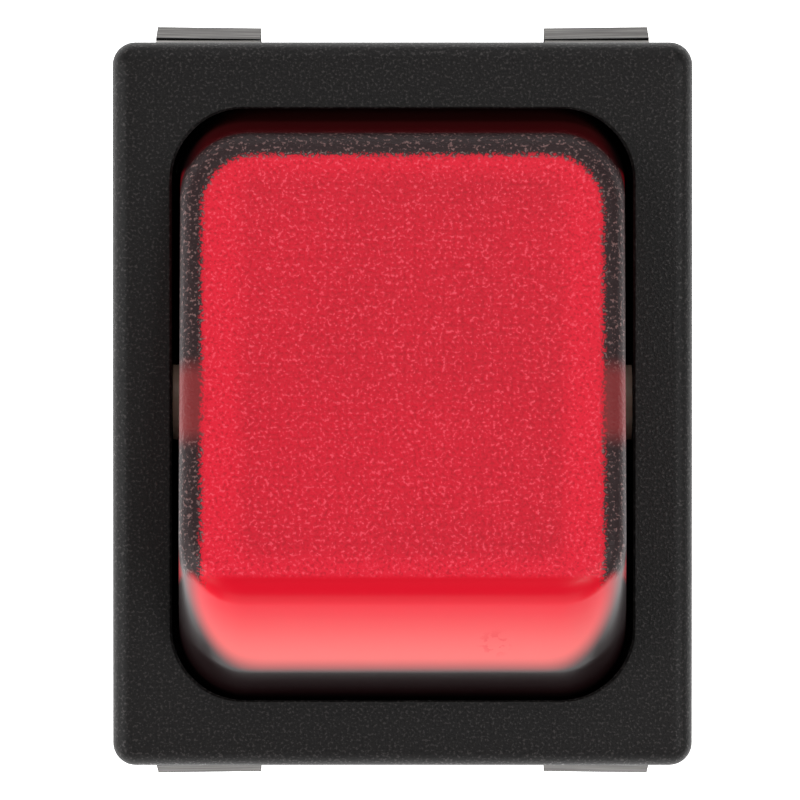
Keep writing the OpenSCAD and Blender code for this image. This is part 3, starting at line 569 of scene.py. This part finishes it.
def makeHousing(size):
    width, length, height = size["bezel"]
    shell = addBox("housingShell", size["bezel"], (0, 0, height / 2))
    roundUprights(shell, size["bezelCorner"], 10)
    roundRim(shell, height, size["bezelEdge"], 8)
    selectFaces(shell, lambda co, normal: abs(co.z) < 0.001 and normal.z < -0.9)
    bpy.ops.mesh.extrude_region_move(TRANSFORM_OT_translate={"value": (0, 0, 0)})
    inwards = (size["body"][0] / width, size["body"][1] / length, 1)
    bpy.ops.transform.resize(value=inwards, center_override=(0, 0, 0))
    bpy.ops.mesh.extrude_region_move(TRANSFORM_OT_translate={"value": (0, 0, size["deckZ"] * mm)})
    makeActive(shell)
    carve(shell, makeWell(size))
    deckZ = size["deckZ"]
    for side in (-1, 1):
        reach = size["wellHalfWidth"] + size["pocketDepth"] - 1
        carve(shell, addRod("pocket", size["pocketRadius"], 2, (side * reach, 0, size["pivotZ"])))
        for end in (-1, 1):
            across, depth = size["clipReach"] + 1, size["recessDepth"]
            middle = size["body"][0] / 2 + 1 - across / 2
            carve(shell, addBox("recess", (across, depth, -deckZ),
                                (side * middle, end * (size["recessY"] + depth / 2), deckZ / 2)))
            carve(shell, addBox("footSlot", size["footSlot"],
                                (side * size["clipX"], end * size["footY"], size["footZ"])))
    for end in (-1, 1):
        carve(shell, addBox("latchChannel", size["latchChannel"],
                            (0, end * size["latchY"], deckZ + size["latchRise"])))
        carve(shell, addBox("latchWindow", size["latchWindow"],
                            (0, end * size["windowY"], deckZ + size["windowRise"])))
    smoothShade(shell)
    return shell


def makeWell(size):
    # the room inside: a swept drum that opens into a straight chamber
    steps = 16
    top = size["bezel"][2]
    foot = size["pivotZ"] - math.sqrt(size["drum"] ** 2 - size["chamberHalfLength"] ** 2)
    floor = size["deckZ"] - 1
    well = addBox("well", (2 * size["wellHalfWidth"], 2 * size["chamberHalfLength"], top + 1 - floor),
                  (0, 0, (top + 1 + floor) / 2))
    levels = [foot + (top - size["mouth"] - foot) * step / steps for step in range(steps + 1)] + [top]
    cutLevels(well, levels)
    roundUprights(well, size["wellCorner"], 14)
    for level in levels + [top + 1]:
        rise = min(level, top) - size["pivotZ"]
        grown = size["mouth"] if level >= top - 0.001 else 0
        reach = math.sqrt(size["drum"] ** 2 - rise ** 2) + grown
        slideRing(well, level, grown, reach - size["chamberHalfLength"])
    return well


housing = makeHousing(housingSizes)
housing.data.materials.append(materials["blackNylon"])
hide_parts("housing")
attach(housing, "housing")
print("housing made:", len(housing.data.polygons), "faces")


capSizes = {
    "skirtHalfWidth": 9.85, "draft": 0.17, "arc": 13.2, "skirtDrop": 2.3, "rise": 8.0,
    "shoulder": 3.9, "slope": 32.0, "corner": 3.0, "edge": 0.8, "wall": 1.0, "top": 1.2,
    "notch": 1.7, "lug": (6.1, 24.8, 0.9), "lugZ": 0.9, "tilt": 13.0, "pivotZ": -1.7}


def capHalfWidth(size, z):
    share = (z + size["skirtDrop"]) / (size["rise"] + size["skirtDrop"])
    return size["skirtHalfWidth"] - size["draft"] * share


def capHalfLength(size, z):
    if z < size["shoulder"]:
        return math.sqrt(size["arc"] ** 2 - z ** 2)
    shoulderY = math.sqrt(size["arc"] ** 2 - size["shoulder"] ** 2)
    return shoulderY - (z - size["shoulder"]) * math.tan(math.radians(size["slope"]))


def makeCapForm(size, name, foot, top, corner, inward, endInward):
    # one closed form of the cap, outside or cavity, by how far it lies inside the outer face
    steps = 12
    halfWidth, halfLength = size["skirtHalfWidth"] - inward, size["arc"] - inward
    form = addBox(name, (2 * halfWidth, 2 * halfLength, top - foot), (0, 0, (top + foot) / 2))
    arcRise = size["shoulder"] + size["skirtDrop"]
    levels = [-size["skirtDrop"] + arcRise * step / steps for step in range(steps + 1)]
    cutLevels(form, [level for level in levels if foot < level < top])
    roundUprights(form, corner, 14)
    for level in sorted(set(levels + [foot, top])):
        if not foot <= level <= top:
            continue
        z = max(level, -size["skirtDrop"])
        dx = capHalfWidth(size, z) - inward - halfWidth
        back = endInward if level == top else inward
        slideRing(form, level, dx, capHalfLength(size, z) - back - halfLength)
    return form


def tipToRest(piece, size):
    makeActive(piece)
    piece.rotation_euler = (-math.radians(size["tilt"]), 0, 0)
    piece.location = (0, 0, size["pivotZ"] * mm)
    bpy.ops.object.transform_apply(location=True, rotation=True, scale=True)


def makeCap(size):
    cap = makeCapForm(size, "rockerCap", -size["skirtDrop"], size["rise"], size["corner"], 0, 0)
    roundRim(cap, size["rise"], size["edge"], 8)
    cavityTop = size["rise"] - size["top"]
    slopeWall = size["wall"] / math.cos(math.radians(size["slope"]))
    cavity = makeCapForm(size, "cavity", -size["skirtDrop"] - 1, cavityTop, size["corner"] - size["wall"],
                         size["wall"], slopeWall)
    carve(cap, cavity)
    across = 2 * size["skirtHalfWidth"] + 2
    carve(cap, addRod("notch", size["notch"], across, (0, 0, 0)))
    carve(cap, addBox("notchFoot", (across, 2 * size["notch"], 2 * size["skirtDrop"]),
                      (0, 0, -size["skirtDrop"])))
    carve(cap, addBox("lugSlots", size["lug"], (0, 0, size["lugZ"])))
    tipToRest(cap, size)
    smoothShade(cap)
    return cap


cap = makeCap(capSizes)
cap.data.materials.append(materials["clearRed"])
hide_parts("rocker_cap")
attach(cap, "rocker")
print("rocker cap made:", len(cap.data.polygons), "faces")


finishes = {
    "blackNylon": ["base"],
    "clipSteel": [f"clip_{end}_{side}" for end in ("rear", "front") for side in ("left", "right")],
    "tinnedBrass": [f"{kind}_terminal_{side}" for kind in ("load", "line") for side in ("left", "right")],
    "contactSilver": [f"{kind}_{side}" for kind in ("fixed_contact", "contact_button")
                      for side in ("left", "right")],
    "sheetBrass": [f"{kind}_{side}" for kind in ("contact_plate", "plunger", "moving_contact")
                   for side in ("left", "right")],
    "leadWire": ["lamp_leads", "plunger_spring_left", "plunger_spring_right"],
    "tanNylon": ["rocker_carrier"], "opalAcrylic": ["diffuser"],
    "lampGlass": ["lamp_glass"], "resistorLacquer": ["resistor"]}

for finish, names in finishes.items():
    for name in names:
        nodes[name].data.materials.clear()
        nodes[name].data.materials.append(materials[finish])
print("finishes given to", sum(len(names) for names in finishes.values()), "nodes")


stageSettings = {
    "floorSize": 3.0, "floorZ": cadBox[0].z - 0.0002, "floorColour": (0.9, 0.9, 0.9), "floorGlow": 1.6}
lamps = {
    "frontBox": {"place": (0.0, -0.50, 0.16), "size": 0.5, "power": 1.0},
    "rearBox": {"place": (0.0, 0.42, 0.42), "size": 0.24, "power": 0.8},
    "leftBox": {"place": (-0.50, -0.10, 0.36), "size": 0.4, "power": 2.4},
    "rightBox": {"place": (0.30, -0.06, 0.50), "size": 0.3, "power": 1.6}}
skyStrength = {"seen": 0.95, "light": 0.14}
cameraSettings = {"place": (0.0, 12.0, 452.2), "aim": (-0.109, 0.197, 2.2), "lens": 463.0}


def makeFloor(settings):
    clearSelection()
    bpy.ops.mesh.primitive_plane_add(size=settings["floorSize"], location=(0, 0, settings["floorZ"]))
    floor = bpy.context.object
    floor.name = "floor"
    bpy.ops.object.transform_apply(location=True, rotation=True, scale=True)
    pale = startMaterial(
        "paleFloor", {"Base Color": (*settings["floorColour"], 1), "Roughness": 0.6,
                      "Emission Color": (1, 1, 1, 1), "Emission Strength": settings["floorGlow"]})[0]
    floor.data.materials.append(pale)


def aimAt(thing, target):
    direction = Vector(target) - thing.location
    thing.rotation_mode = "QUATERNION"
    thing.rotation_quaternion = direction.to_track_quat("-Z", "Y")


makeFloor(stageSettings)
for name, settings in lamps.items():
    data = bpy.data.lights.new(name, "AREA")
    data.energy = settings["power"]
    data.size = settings["size"]
    box = bpy.data.objects.new(name, data)
    bpy.context.scene.collection.objects.link(box)
    box.location = settings["place"]
    aimAt(box, (0, 0, 0))

world = bpy.data.worlds.new("studio")
bpy.context.scene.world = world
world.use_nodes = True
sky = world.node_tree
background = sky.nodes["Background"]
background.inputs["Color"].default_value = (1, 1, 1, 1)
ray = addNode(sky, "ShaderNodeLightPath")
sky.links.new(rangeNode(sky, ray.outputs["Is Camera Ray"], 0, 1, skyStrength["light"], skyStrength["seen"]),
              background.inputs["Strength"])
bpy.context.scene.view_settings.view_transform = "Standard"

camera = bpy.data.objects.new("camera", bpy.data.cameras.new("camera"))
bpy.context.scene.collection.objects.link(camera)
bpy.context.scene.camera = camera
camera.data.lens = cameraSettings["lens"]
camera.data.clip_end = 10
camera.location = Vector(cameraSettings["place"]) * mm
toAim = Vector(cameraSettings["aim"]) * mm - camera.location
camera.rotation_euler = (math.atan2(toAim.y, -toAim.z), -math.atan2(toAim.x, -toAim.z), 0)
print("floor, light and camera ready")
